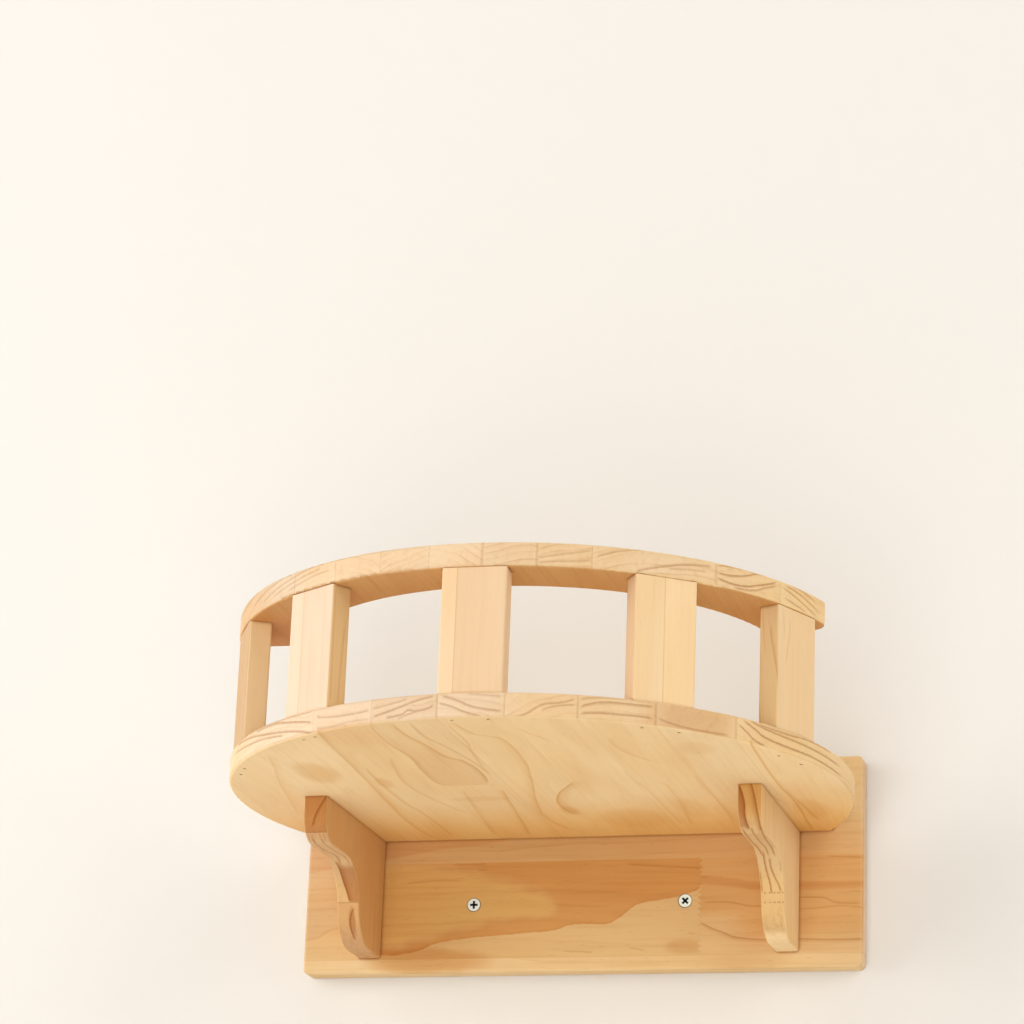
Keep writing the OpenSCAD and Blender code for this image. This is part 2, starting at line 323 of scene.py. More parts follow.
def pine(name, origin, axes, staves, seed, figure, colour=PALE, teeth=0.0, wander=5.0, face_share=0.4,
         fibres=1.0, contact_shade=1.0):
    """Satin-finished pine, edge-glued from staves.

    axes are the directions along the grain, across the staves and out of the main face.
    A stave is (start, its log's middle across, the same through, width of a ring,
    contrast, tone, redness, place of its finger joint).
    figure(grain, after) gives the piece's own stains as (amount, tint), and after is 1 past a finger joint.
    """
    material, g, shader = new_material(name, Specular_IOR_Level=0.22)
    grain = Grain(g, origin, axes)
    u, v = grain.u, grain.v
    starts = [stave[0] for stave in staves]
    columns = [list(column) for column in zip(*(stave[1:] for stave in staves))]
    columns.append([starts[0] - BEFORE_STAVES] + starts[1:])
    columns.append(starts[1:] + [starts[-1] + BEYOND_STAVES])
    pith_v, pith_w, ring, contrast, tone, red, joint, low_side, high_side = g.steps(v, starts, columns)

    tooth = g.math("PINGPONG", v, FINGER_PITCH / 2) * (2 * teeth / FINGER_PITCH)
    from_joint = u + tooth - joint
    after = g.math("GREATER_THAN", from_joint, 0.0)
    # A number of its own for each piece of wood, for its random draws
    piece = low_side * 0.173 + after * 5.5 + seed

    # Rings round the middle of the log, which lies off the stave
    bend = g.noise(grain.scaled(0.008, 0.024, piece * 3.1), 2.0, 0.5, "Color")
    bend_v, bend_w, _ = g.split(g.vector("SUBTRACT", bend, (0.5, 0.5, 0.5)))
    lean, low_tone, _ = g.random(piece)
    ring_v = v - pith_v + after * 37.0 + bend_v * (2 * wander) + u * (lean * 0.10 - 0.05)
    ring_w = grain.w - pith_w * (1.0 - after * 2.0) + bend_w * (2 * wander)
    years = g.math("SQRT", ring_v * ring_v + ring_w * ring_w) / ring + piece * 1.7
    years = years + g.noise(g.join(years * 0.4, piece, 0.0), 1.0) * 1.1
    in_year = g.math("FRACT", years)
    strength, shade, _ = g.random(g.math("FLOOR", years), piece)
    late = g.smooth(in_year, 0.2, 0.94) * 0.4 + g.smooth(in_year, 0.72, 0.93) * 0.6
    late = late * g.smooth(in_year, 1.0, 0.95)
    patchy = g.smooth(g.noise(grain.scaled(0.013, 0.04, piece * 1.3), 1.0), 0.3, 0.62) * 0.75 + 0.25
    end = g.smooth(g.size(grain.end), 0.35, 0.85)
    late = late * (strength * 0.7 + 0.3) * patchy * contrast * (end * (1.0 - face_share) + face_share)

    # Fibres, resin canals and slow changes of colour
    fibre = g.noise(grain.scaled(0.05, 2.2), 3.0, 0.6)
    streak = g.noise(grain.scaled(0.012, 0.27, piece), 3.0, 0.55)
    canal = g.smooth(g.noise(grain.scaled(0.15, 1.7), 0.0), 0.76, 0.84)
    cloud = g.noise(grain.scaled(0.006, 0.02, piece), 2.0)

    paint = g.stain(colour, g.smooth(cloud, 0.35, 0.7) * 0.7, WARM_TINT)
    paint = g.stain(paint, red, RED_TINT)
    for amount, tint in figure(grain, after):
        paint = g.stain(paint, amount, tint)
    paint = g.stain(paint, late, LATE_TINT)
    paint = g.stain(paint, g.smooth(streak, 0.45, 0.85) * (0.30 * fibres), LATE_TINT)
    paint = g.stain(paint, g.smooth(fibre, 0.5, 0.9) * (end * 0.5 + 0.22 * fibres), LATE_TINT)
    paint = g.stain(paint, canal * (0.28 * fibres), SEAM_TINT)
    paint = g.stain(paint, end, END_TINT)
    bright = tone + (low_tone - 0.5) * 0.03 + (shade - 0.5) * 0.02
    paint = g.vector("MULTIPLY", paint, bright)

    # Glue lines between staves, finger joints, and painted shade in the creases where pieces meet
    glue = g.smooth(g.math("MINIMUM", v - low_side, high_side - v), 0.35, 0.05) * (end * 0.18 + 0.07)
    finger = g.smooth(g.size(from_joint), 0.35, 0.05) * 0.22
    seam = g.most(glue, finger)
    paint = g.stain(paint, seam, SEAM_TINT)
    # Painted shade: the wood is darkened where the occlusion mask finds a crease or corner between pieces
    open_share = g.node("ShaderNodeAmbientOcclusion", {"Distance": 3.2 * MM}, "AO", samples=6)
    paint = g.stain(paint, g.smooth(open_share, 0.84, 0.46) * contact_shade, CONTACT_SHADE_TINT)
    g.link(paint, shader.inputs["Base Color"])

    g.link(streak * 0.10 + 0.50 - late * 0.10, shader.inputs["Roughness"])
    height = late * 0.5 + fibre * 0.35 - canal * 0.2 - seam * 0.4
    bump = g.node("ShaderNodeBump", {"Height": height, "Strength": 0.3, "Distance": 0.08 * MM})
    g.link(bump, shader.inputs["Normal"])
    return material


# Steel

PLATE_GRAIN = 900.0
PLATE_TINT = (0.75, 0.76, 0.74)
RECESS_SHADE_TINT = (0.02, 0.03, 0.045)
WORN_AND_SHADED_TINT = (0.06, 0.08, 0.11)
# On a wall screw's head, in mm: where the wear and painted shade round a cross recess end and are full, along
# and across its arms, and the painted shadow ring at the rim with its fade
CROSS_LENGTH = (2.95, 2.6)
CROSS_WIDTH = (0.95, 0.65)
HEAD_RIM_SHADOW = (4.25, 5.2, 0.4)


def metal(name, colour, roughness, crosses=()):
    """Plated steel: fine cloudy grain, with painted shade in recesses and where it meets the wood.

    crosses are the wall screws' recesses, (x in mm, turn in degrees), for the wear and painted shade round
    their edges, and a painted shadow ring round each head.
    """
    material, g, shader = new_material(name, Metallic=1.0)
    place = g.node("ShaderNodeTexCoord", output="Object")
    grain = g.noise(g.vector("MULTIPLY", place, PLATE_GRAIN), 3.0, 0.6)
    open_share = g.node("ShaderNodeAmbientOcclusion", {"Distance": 2.6 * MM}, "AO", samples=8)
    paint = g.stain(colour, g.smooth(grain, 0.4, 0.8) * 0.35, PLATE_TINT)
    # Painted shade in recesses and where the steel meets the wood
    paint = g.stain(paint, g.smooth(open_share, 0.93, 0.68), RECESS_SHADE_TINT)
    x, _, z = g.split(g.vector("MULTIPLY", place, 1 / MM))
    # Wear and painted shade: a dark cross round each recess, and a painted shadow ring round the head's rim
    for centre, turn in crosses:
        cosine, sine = math.cos(math.radians(turn)), math.sin(math.radians(turn))
        x_off = x - centre
        first, second = g.size(x_off * cosine + z * sine), g.size(z * cosine - x_off * sine)
        worn_and_shaded = g.smooth(g.most(first, second), *CROSS_LENGTH)
        worn_and_shaded = worn_and_shaded * g.smooth(g.math("MINIMUM", first, second), *CROSS_WIDTH)
        radius = g.math("SQRT", x_off * x_off + z * z)
        rim = g.within(radius, *HEAD_RIM_SHADOW)
        paint = g.stain(paint, g.most(worn_and_shaded, rim * 0.65), WORN_AND_SHADED_TINT)
    g.link(paint, shader.inputs["Base Color"])
    g.link(grain * 0.2 + roughness, shader.inputs["Roughness"])
    return material


def dress(name, material):
    """Gives a CAD node a better material."""
    for one in nodes[name].material_slots:
        one.material = material


# The platform: eight staves along Y, and the figure of its underside

# Lines that also bound a patch of another colour, as points (y, x)
FRONT_LEFT = [
    (-322, -97), (-293, -99), (-243, -101), (-190, -104), (-118, -108), (-78, -110), (-36, -108), (-18, -101),
]
PATCH_LEFT = [(-332, -56), (-298, -61), (-268, -60), (-243, -57), (-212, -59), (-180, -59), (-168, -50)]
PATCH_RIGHT = [(-330, -44), (-301, -43), (-276, -38), (-245, -33), (-229, -24), (-202, -21), (-168, -26)]
UNDERSIDE_LINES = [
    # (points as (y, x), strength, tail)
    (FRONT_LEFT, 0.60, 7.0),
    (PATCH_LEFT, 0.55, 5.0),
    (PATCH_RIGHT, 0.75, -6.0),
    ([(-329, -32), (-295, -32), (-274, -27), (-250, -22), (-221, -18), (-189, -16)], 0.60, -3.0),
    ([(-325, -15), (-317, -10), (-285, -9), (-257, -12), (-226, -15), (-194, -17)], 0.45, -3.0),
    ([(-330, -6), (-296, 1), (-279, 16), (-239, 16), (-188, 9), (-118, -5), (-73, -11)], 0.60, -7.0),
    ([(-312, 31), (-294, 36), (-280, 42), (-266, 46)], 0.40, -4.0),
    ([(-248, -70), (-214, -76), (-177, -80), (-138, -75), (-114, -69), (-91, -62)], 0.45, 5.0),
    ([(-224, -92), (-181, -97), (-136, -97), (-101, -93), (-59, -91), (-22, -91)], 0.50, 4.0),
    ([(-162, -46), (-118, -51), (-66, -56), (-25, -60)], 0.40, 6.0),
    ([(-159, -19), (-121, -23), (-76, -28), (-22, -34)], 0.65, -5.0),
    ([(-264, -148), (-233, -154), (-192, -164), (-137, -174), (-92, -183)], 0.35, 8.0),
    ([(-281, 83), (-256, 82), (-230, 89), (-209, 103)], 0.45, 6.0),
    ([(-173, 74), (-134, 77), (-88, 78), (-41, 79)], 0.30, 7.0),
    ([(-165, 92), (-121, 92), (-70, 88), (-40, 84)], 0.35, 6.0),
    ([(-184, 116), (-146, 116), (-107, 117), (-43, 114)], 0.35, 6.0),
    ([(-142, 154), (-117, 156), (-93, 162)], 0.40, 3.0),
    ([(-92, -10), (-62, -9), (-37, -1), (-29, 22)], 0.50, 5.0),
    ([(-174, 36), (-158, 26), (-135, 14), (-107, 8), (-86, 11), (-76, 27)], 0.90, 11.0),
    ([(-261, 169), (-211, 167), (-154, 166), (-94, 168), (-37, 166), (-17, 166)], 0.80, 2.0),
    ([(-143, 166), (-93, 171), (-42, 175)], 0.60, 3.0),
]
UNDERSIDE_SPOTS = [
    # y, x, half lengths, strength
    (-212.0, -131.0, 34.0, 17.0, 0.55),
    (-181.0, -94.0, 17.0, 7.0, 0.40),
    (-131.0, -42.0, 9.0, 26.0, 0.25),
    (-92.0, 11.0, 16.0, 8.0, 0.45),
    (-66.0, 50.0, 36.0, 28.0, 0.35),
    (-90.0, 96.0, 34.0, 13.0, 0.30),
    (-245.0, 132.0, 20.0, 15.0, 0.25),
    (-80.0, 176.0, 34.0, 14.0, 0.35),
]


# The rims of the platform and the rail, with points as (x, height above the piece's middle)

RIM_LINES = [
    ([(-178.9, 5.5), (-159.6, 3.4), (-144.1, 0.6), (-124.5, -2.6), (-110.1, -5.7), (-99.8, -9.4)], 0.75, 2.5),
    ([(-181.7, 1.2), (-164.0, -0.5), (-148.0, -1.7), (-126.2, -4.7)], 0.65, 2.0),
    ([(-155.3, 6.1), (-136.6, 6.0), (-125.1, 4.2), (-102.1, -0.3)], 0.75, -2.5),
    ([(-162.5, 7.1), (-144.7, 7.6), (-125.3, 7.2), (-102.6, 6.8)], 0.45, -2.0),
    ([(-100.7, 3.5), (-85.9, -0.1), (-75.0, -0.4), (-58.6, 0.6)], 0.50, 2.5),
    ([(-100.2, -4.0), (-87.1, -6.2), (-71.7, -5.1), (-58.3, -5.4)], 0.35, 2.0),
    ([(-48.1, -5.8), (-35.4, -4.3), (-31.4, -2.0), (-27.2, -2.9), (-13.8, 1.7)], 0.65, 2.0),
    ([(-39.5, -7.2), (-31.2, -4.6), (-17.7, -1.2), (-13.7, -0.5)], 0.50, 1.5),
    ([(-56.9, -4.2), (-41.3, -0.5), (-24.8, 4.1), (-14.0, 6.1)], 0.60, 2.0),
    ([(-57.2, 1.1), (-41.5, 3.5), (-31.7, 5.3)], 0.45, 2.0),
    ([(-12.5, 2.1), (-4.4, -0.3), (7.6, -5.2), (16.7, -7.4)], 0.60, -2.0),
    ([(-10.0, 6.5), (-0.6, 3.5), (11.4, -1.4), (29.3, -4.2)], 0.60, -2.5),
    ([(5.8, 7.2), (16.2, 6.4), (28.9, 5.0)], 0.40, -2.0),
    ([(34.5, -9.3), (44.3, -5.9), (49.1, -2.5), (54.8, 0.3), (63.8, 1.6), (73.0, 4.5)], 0.60, 2.0),
    ([(52.0, -4.4), (58.0, -1.5), (65.2, 0.1), (73.5, 0.9)], 0.50, 1.5),
    ([(74.7, -0.6), (81.7, 2.6), (91.0, 4.4), (99.1, 4.5), (117.3, 4.7)], 0.65, -2.5),
    ([(74.9, -5.8), (87.7, -3.4), (101.6, -3.3), (113.0, -3.2), (117.5, -5.1)], 0.65, 2.0),
    ([(74.6, 4.0), (90.9, 7.1), (117.2, 7.3)], 0.45, -1.5),
    ([(118.5, -1.0), (126.4, -4.4), (138.5, -6.0), (157.8, -5.5)], 0.50, -2.0),
    ([(161.4, 3.5), (166.1, -0.4), (171.3, -5.3), (176.4, -6.8)], 0.85, -1.6),
    ([(163.9, 6.9), (171.2, 1.9), (176.3, -1.5), (188.1, -3.1), (197.3, -3.2), (209.6, -4.8)], 0.85, -1.6),
    ([(167.0, 7.8), (174.2, 4.3), (183.2, 2.6), (194.6, 1.8), (209.0, 0.5)], 0.80, 1.6),
    ([(171.2, 7.2), (185.1, 4.8), (197.2, 6.2), (206.1, 4.8)], 0.70, 1.6),
]
RAIL_LINES = [
    ([(-189.5, -2.0), (-184.8, 2.8), (-175.3, 4.2), (-162.9, 7.2), (-146.9, 8.7)], 0.45, 1.5),
    ([(-170.0, -1.8), (-156.7, 2.5), (-143.3, 5.3), (-128.1, 7.0), (-115.4, 9.0)], 0.45, 1.5),
    ([(-157.9, -3.6), (-142.9, 0.8), (-127.8, 3.7), (-113.8, 5.9), (-99.2, 7.3)], 0.45, 1.5),
    ([(-145.8, -3.7), (-131.9, -0.5), (-117.7, 2.0), (-102.8, 3.8)], 0.40, 1.5),
    ([(-131.7, -3.9), (-117.4, -1.3), (-104.0, 0.8), (-94.8, 1.0)], 0.40, 1.5),
    ([(46.0, -3.0), (61.4, 0.0), (70.6, 1.7), (79.6, 3.8)], 0.40, 2.0),
    ([(46.0, -6.0), (60.5, -4.6), (69.7, -4.1), (79.8, -2.5)], 0.40, 2.0),
    ([(80.8, -0.9), (88.7, 2.6), (94.6, 4.6), (110.2, 7.9)], 0.50, 2.0),
    ([(103.8, -7.8), (112.4, -4.3), (122.0, -1.2), (137.0, 2.7), (147.2, 3.8)], 0.60, 2.5),
    ([(122.0, -2.7), (131.5, -1.3), (144.5, -0.1)], 0.40, 1.5),
    ([(148.6, 5.6), (155.4, 7.3), (162.6, 7.9), (169.7, 7.7)], 0.70, -1.6),
    ([(148.7, 1.6), (153.7, 1.1), (160.9, 2.4), (174.9, 8.9), (180.0, 9.3)], 0.80, -1.6),
    ([(148.7, -1.7), (153.7, -3.3), (161.0, -3.8), (170.7, -0.2), (180.7, 6.7)], 0.85, -1.8),
    ([(157.4, -5.8), (166.3, -5.1), (175.0, 0.0), (180.9, 4.2)], 0.70, -1.6),
    ([(182.6, 3.6), (187.6, 1.1), (194.0, -2.9), (199.3, -6.8)], 0.70, 1.5),
    ([(183.4, 5.6), (190.0, 3.7), (196.3, 0.0), (200.3, -3.5)], 0.70, 1.5),
    ([(186.7, 7.4), (193.1, 5.8), (199.2, 1.9)], 0.60, 1.5),
    ([(182.7, -2.7), (189.3, -4.9), (194.8, -7.0)], 0.60, 1.5),
]

# The finger joint in the platform's third stave, where its patch ends
PATCH_JOINT = -169.0

REAR_SHADE_TINT = (0.99, 0.82, 0.48)
FRONT_TINT = (1.03, 1.04, 1.05)
LEFT_EDGE_TINT = (0.96, 0.99, 1.06)
RIGHT_EDGE_TINT = (0.95, 0.92, 0.82)
RIGHT_RIM_TINT = (0.86, 0.74, 0.62)
RIGHT_END_TINT = (0.93, 0.90, 0.89)
RAIL_RIGHT_TINT = (1.0, 0.985, 0.92)
RAIL_LEFT_TINT = (0.94, 1.0, 1.12)
RAIL_UNDERSIDE_SHADE_TINT = (0.79, 0.60, 0.43)


def rim_lines(grain, rows, front):
    """Dark lines round the curved edge, as far back as front."""
    g = grain.g
    rim = grain.seen(grain.v, grain.w).frayed(0.55)
    lines = g.most(*[rim.line(points, strength, 0.75, tail, 3.0) for points, strength, tail in rows])
    return lines * g.smooth(g.size(grain.face), 0.85, 0.5) * g.smooth(grain.u, front + 8.0, front)


def rail_figure(grain, after):
    g = grain.g
    # Painted shade: faces that point down, under the rail, are darkened to a deeper orange
    below = g.smooth(grain.face, -0.6, -0.9)
    left_end = g.smooth(grain.v, -135.0, -165.0)
    return [
        (rim_lines(grain, RAIL_LINES, -120.0), RIM_TINT),
        (g.smooth(grain.v, 10.0, 60.0), RAIL_RIGHT_TINT),
        (below * 0.9, RAIL_UNDERSIDE_SHADE_TINT),
        (left_end * 0.5, RED_TINT),
        (g.smooth(grain.v, -90.0, -150.0) * (1.0 - below), RAIL_LEFT_TINT),
    ]


def platform_figure(grain, after):
    g = grain.g
    under = g.smooth(grain.w, -4.5, -7.0)
    lines = g.most(*[grain.line(points, strength, 0.9, tail) for points, strength, tail in UNDERSIDE_LINES])
    patch = grain.beyond(PATCH_LEFT[2:], 0.8) * (1.0 - grain.beyond(PATCH_RIGHT[2:], 0.8))
    patch = patch * g.smooth(grain.u, -285, -235) * g.smooth(grain.u, PATCH_JOINT + 0.4, PATCH_JOINT)
    front = grain.beyond(FRONT_LEFT, 2.0) * (1.0 - grain.beyond(PATCH_LEFT[:3], 3.0))
    front = front * g.smooth(grain.u, -262, -300)
    # Painted shade: the underside turns more orange towards the board; nearer the front it is made slightly
    # paler
    rear_shade = g.smooth(grain.u, -140.0, -20.0)
    spots = g.most(*[grain.spot(*place) * strength for *place, strength in UNDERSIDE_SPOTS])
    waves = g.smooth(g.noise(grain.scaled(0.010, 0.035, 4.0), 1.0), 0.42, 0.72)
    edge = g.smooth(g.size(grain.face), 0.85, 0.5)
    right_rim = edge * g.smooth(grain.v, 105.0, 130.0) * g.smooth(grain.v, 165.0, 150.0)
    return [
        (lines * under, GOLD_TINT),
        (patch * under * 0.22, HEART_TINT),
        (front * under * 0.35, RED_TINT),
        (rear_shade * under * 0.85, REAR_SHADE_TINT),
        (spots * under, GOLD_TINT),
        (waves * under * 0.18, GOLD_TINT),
        (edge * g.smooth(grain.v, 15.0, 50.0), RIGHT_EDGE_TINT),
        (edge * g.smooth(grain.v, 50.0, 15.0), LEFT_EDGE_TINT),
        ((1.0 - rear_shade) * under, FRONT_TINT),
        (rim_lines(grain, RIM_LINES, -70.0), RIM_TINT),
        (right_rim * 0.9, RIGHT_RIM_TINT),
        (edge * g.smooth(grain.v, 150.0, 175.0), RIGHT_END_TINT),
    ]


# Staves, as pine takes them, with the seams below and above the back board's middle one

LOW_SEAM = -38.3
HIGH_SEAM = 29.9
PLATFORM_STAVES = [
    (-215.0, -128.0, -140.0, 5.5, 0.35, 1.03, 0.02, NO_JOINT),
    (-101.9, -150.0, -150.0, 7.5, 0.35, 1.03, 0.00, NO_JOINT),
    (-57.9, 0.0, -180.0, 5.5, 0.40, 0.99, 0.10, PATCH_JOINT),
    (-13.3, -40.0, -170.0, 6.5, 0.35, 1.02, 0.00, NO_JOINT),
    (30.0, 110.0, -150.0, 6.5, 0.35, 1.04, 0.00, NO_JOINT),
    (73.6, 92.0, -130.0, 5.5, 0.40, 1.04, 0.00, NO_JOINT),
    (117.7, 300.0, -60.0, 7.0, 0.20, 1.01, 0.00, NO_JOINT),
    (160.5, 120.0, -200.0, 4.0, 0.35, 1.06, 0.00, NO_JOINT),
]
RAIL_STAVES = [
    (-215.0, -80.0, -200.0, 3.5, 0.35, 0.99, 0.15, NO_JOINT),
    (-125.7, -60.0, -160.0, 4.5, 0.35, 1.00, 0.05, NO_JOINT),
    (-91.4, -140.0, -120.0, 5.0, 0.50, 1.01, 0.05, NO_JOINT),
    (-57.1, 20.0, -150.0, 4.0, 0.55, 0.99, 0.05, NO_JOINT),
    (-22.8, -60.0, -130.0, 5.0, 0.50, 1.01, 0.00, NO_JOINT),
    (11.5, 60.0, -140.0, 4.5, 0.55, 1.00, 0.05, NO_JOINT),
    (45.8, 80.0, -150.0, 5.0, 0.60, 1.00, 0.05, NO_JOINT),
    (79.3, 150.0, -160.0, 6.0, 0.45, 1.01, 0.00, NO_JOINT),
    (148.2, 230.0, -200.0, 4.5, 0.35, 1.00, 0.05, NO_JOINT),
    (181.1, 120.0, -220.0, 4.0, 0.35, 0.99, 0.10, NO_JOINT),
]
BOARD_STAVES = [
    (-60.0, 120.0, 30.0, 9.0, 0.28, 1.00, 0.00, NO_JOINT),
    (LOW_SEAM, -110.0, -60.0, 9.0, 0.26, 1.00, 0.00, 88.0),
    (HIGH_SEAM, 110.0, 50.0, 8.0, 0.30, 0.98, 0.10, NO_JOINT),
]
BRACKET_STAVES = [
    (-200.0, -80.0, 150.0, 9.0, 0.22, 1.00, 0.0, NO_JOINT),
]

# The back board: dark heartwood above a sharp line, with a paler lens in it

HEART_EDGE = [
    (-202, -24), (-190, -22), (-176, -16), (-158, -24), (-139, -35), (-124, -34), (-97, -26),
    (-69, -23), (-41, -21), (-16, -19), (-7, -16), (6, -15), (18, -15.5), (28, -12),
    (36, -6), (45, -1), (58, 1), (71, 3), (81, 6), (90, 11),
]
LENS_LOW = [(-142, -29), (-125, -27), (-103, -22), (-84, -17), (-65, -12), (-42, -10.5), (-23, -9), (-14, -4)]
LENS_HIGH = [
    (-142, 30), (-127, 31), (-113, 30), (-100, 28), (-80, 24), (-61, 18), (-42, 13), (-33, 9.5), (-24, 5),
    (-14, -3),
]
WEDGE_LOW = [(-145, 33.5), (-119, 37.4), (-94, 41), (-72, 43), (-50, 46)]
BAND_HIGH = [(86, 18), (112, 14.7), (129, 12.2), (158, 11.9), (178, 11.6), (202, 11.6)]
BAND_LOW = [(86, 12), (112, 9), (129, 6.3), (158, 6), (178, 6.2), (202, 7)]
BOARD_LINES = [
    ([(-128, 15.5), (-113, 17), (-100, 17.5), (-84, 16)], 0.35, 3.0),
    ([(88, -1.8), (104, -1.7), (114, -3.2), (128, -5.1), (157, 0.5), (170, 0.3), (183, -3.7), (200, -4.5)],
     0.55, 1.5),
    ([(86, -14.6), (96, -19.8), (105, -23.2), (112, -26), (131, -28), (159, -28), (179, -28.7), (202, -28.5)],
     0.75, -4.0),
    ([(150, -8), (169, -7.1), (187, -5.8), (202, -10)], 0.40, 1.5),
    ([(174, 29), (186, 28.4), (202, 27.5)], 0.50, 1.5),
    ([(-94, 28.9), (-66, 28.3)], 0.55, 0.8),
    ([(-76, 24.9), (-65, 24.6)], 0.50, 0.8),
    ([(33, 26.4), (59, 24.4), (90, 22.2)], 0.55, 2.5),
    ([(-12, -34.2), (13, -35.3)], 0.45, 1.5),
    ([(35, -32.1), (50, -35.2)], 0.45, 1.2),
    ([(76, -22.7), (86, -23.6)], 0.50, 1.0),
]
LENS_TINT = (0.96, 0.89, 0.60)
LEFT_END_SHADE_TINT = (0.87, 0.83, 0.88)
PALE_PART_TINT = (0.92, 0.86, 0.76)


def board_figure(grain, after):
    g = grain.g
    front = g.smooth(grain.w, 2.0, 6.0)
    u, v = grain.u, grain.v
    before = 1.0 - after
    stave = g.smooth(v, LOW_SEAM - 0.2, LOW_SEAM + 0.1) * g.smooth(v, HIGH_SEAM + 0.2, HIGH_SEAM - 0.1)
    above = grain.rippled(1.1, 0.22).beyond(HEART_EDGE, 0.6)
    heart = above * stave * before * (g.smooth(u, -166.0, -152.0) * 0.75 + 0.25)
    # Painted shade: the board is darkened at its left end, past the left bracket
    left_end = g.smooth(u, -148.0, -164.0) * (above * 0.75 + 0.25)
    wobble = grain.rippled(4.5, 0.06)
    lens = wobble.beyond(LENS_LOW, 4.5) * (1.0 - wobble.beyond(LENS_HIGH, 6.0))
    lens = lens * g.smooth(u, -9.0, -22.0) * before
    edge_line = grain.line(HEART_EDGE, 0.5, 0.5, 3.0, 4.0) * stave * before
    red_core = g.smooth(v, 27.0, 10.0) * g.smooth(v, -6.0, 4.0)
    red_core = red_core * g.smooth(u, -28.0, 0.0) * g.smooth(u, 80.0, 40.0) * before
    wedge = grain.beyond(WEDGE_LOW, 1.0) * g.smooth(u, -48.0, -60.0)
    band = grain.beyond(BAND_LOW, 1.5) * (1.0 - grain.beyond(BAND_HIGH, 1.2)) * after * stave
    upper_stave = g.smooth(v, HIGH_SEAM - 0.1, HIGH_SEAM + 0.2)
    upper = upper_stave * g.smooth(u, 150.0, 120.0) * g.smooth(u, -168.0, -150.0)
    upper_right = upper_stave * g.smooth(v, 80.0, 32.0) * g.smooth(u, 120.0, 152.0)
    right = after * stave * (g.smooth(v, -38.0, -18.0) * 0.55 + 0.45)
    right = right * (1.0 - g.smooth(v, -4.0, -16.0) * g.smooth(u, 128.0, 96.0) * 0.55)
    foot_right = g.smooth(v, LOW_SEAM + 0.1, LOW_SEAM - 0.2) * g.smooth(u, 80.0, 110.0)
    patch = grain.spot(76.0, -32.0, 17.0, 7.0) * before
    pale_part = (1.0 - above) * stave * before
    foot_left = grain.rippled(3.0, 0.05).spot(-107.0, -40.0, 55.0, 12.0)
    lines = g.most(*[grain.line(points, strength, 0.6, tail, 5.0) for points, strength, tail in BOARD_LINES])
    return [
        (heart * front * (1.0 - lens * 0.55), HEART_TINT),
        (lens * heart * front * 0.8, LENS_TINT),
        (left_end * front, LEFT_END_SHADE_TINT),
        (edge_line * front, RED_TINT),
        (red_core * front * 0.25, RED_TINT),
        (upper * front * 0.58, HEART_TINT),
        (upper_right * front * 0.55, HEART_TINT),
        (foot_right * front * 0.22, HEART_TINT),
        (wedge * front * 0.5, RED_TINT),
        (right * front * 0.80, HEART_TINT),
        (band * front * 0.45, HEART_TINT),
        (patch * front * 0.45, HEART_TINT),
        (pale_part * front, PALE_PART_TINT),
        (foot_left * front * 0.78, HEART_TINT),
        (lines * front, LATE_TINT),
    ]


# The brackets: dark lines down their ogee edges, with v measured across the thickness

# Lines that also bound a patch of another colour, as points (height, across)
RIGHT_OUTSIDE = [(18, -1.4), (22, -2.4), (27, -3.2), (32, -3.0), (39, -4.3), (47, -7.6)]
LEFT_BELOW = [(-8.5, 1.1), (-1.8, -0.6), (5.4, -2.3), (12.3, -3.1), (16, -3.7)]
RIGHT_LINES = [
    ([(-8, -7.2), (0, -7.4), (6, -7.8)], 0.6, 1.5),
    ([(-9, -0.7), (-2, -1.4), (3, -2.4), (9, -3.2), (16, -2.4)], 0.8, 1.6),
    ([(-8, 5.9), (-2, 4.0), (3.5, 1.4), (9, 0.3), (13, 0.7)], 0.75, 1.6),
    ([(4, 7.6), (12, 7.8)], 0.5, -1.2),
    (RIGHT_OUTSIDE, 0.85, -4.0),
    ([(17, 6.1), (24, 5.8), (29, 5.1), (35, 4.2), (41, 2.8), (48, 0.8)], 0.85, -4.0),
]
LEFT_LINES = [
    ([(26, -2.2), (28, -1.7), (34.6, 0.6), (40.8, 3.7), (47, 7.4)], 0.8, 3.0),
    (LEFT_BELOW, 0.8, 5.0),
    ([(-33, 2.2), (-29, 1.4), (-23, 0.8), (-18.5, 1.6), (-12, 4.4)], 0.7, 1.5),
]
# The same on the bulge under the nose, with points as (y, across the thickness)
RIGHT_BULGE = [
    ([(-143, -6.6), (-135.7, -5.9), (-110.6, -5.9), (-96, -4.8), (-84, -2.6)], 0.80, 1.8),
    ([(-145, -2.0), (-141.5, -0.4), (-110.6, -0.5), (-96, 0.2), (-84, 0.4)], 0.65, 1.6),
    ([(-145, 6.4), (-141.5, 6.4), (-110.6, 4.8), (-96, 4.8), (-84, 6.4)], 0.70, -1.8),
]
LEFT_BULGE = [
    ([(-150, -4.6), (-140, -3.6), (-120, -3.0), (-100, -0.4), (-85, -4.2)], 0.60, 1.8),
    ([(-150, 2.2), (-140, 2.6), (-118, 3.4), (-100, 5.0), (-88, 5.6)], 0.50, 1.6),
]
# Where the left bracket's edge steps, and the rows of dashes and the ring on the right one's
LOW_STEP = -8.8
HIGH_STEP = 22.8
DASH_ROWS = (-8.0, -14.3)
RING_MIDDLE = (-25.3, 2.9)
RING_RADIUS = 2.6
EDGE_TINT = (0.95, 0.93, 0.82)
LEFT_MIDDLE_TINT = (0.93, 0.89, 0.90)
LEFT_FOOT_TINT = (0.92, 0.86, 0.84)
LEFT_FACE_SHADE_TINT = (0.83, 0.69, 0.55)
RIGHT_TOP_TINT = (0.75, 0.57, 0.31)
RIGHT_FOOT_LIGHT_TINT = (1.27, 1.46, 1.70)


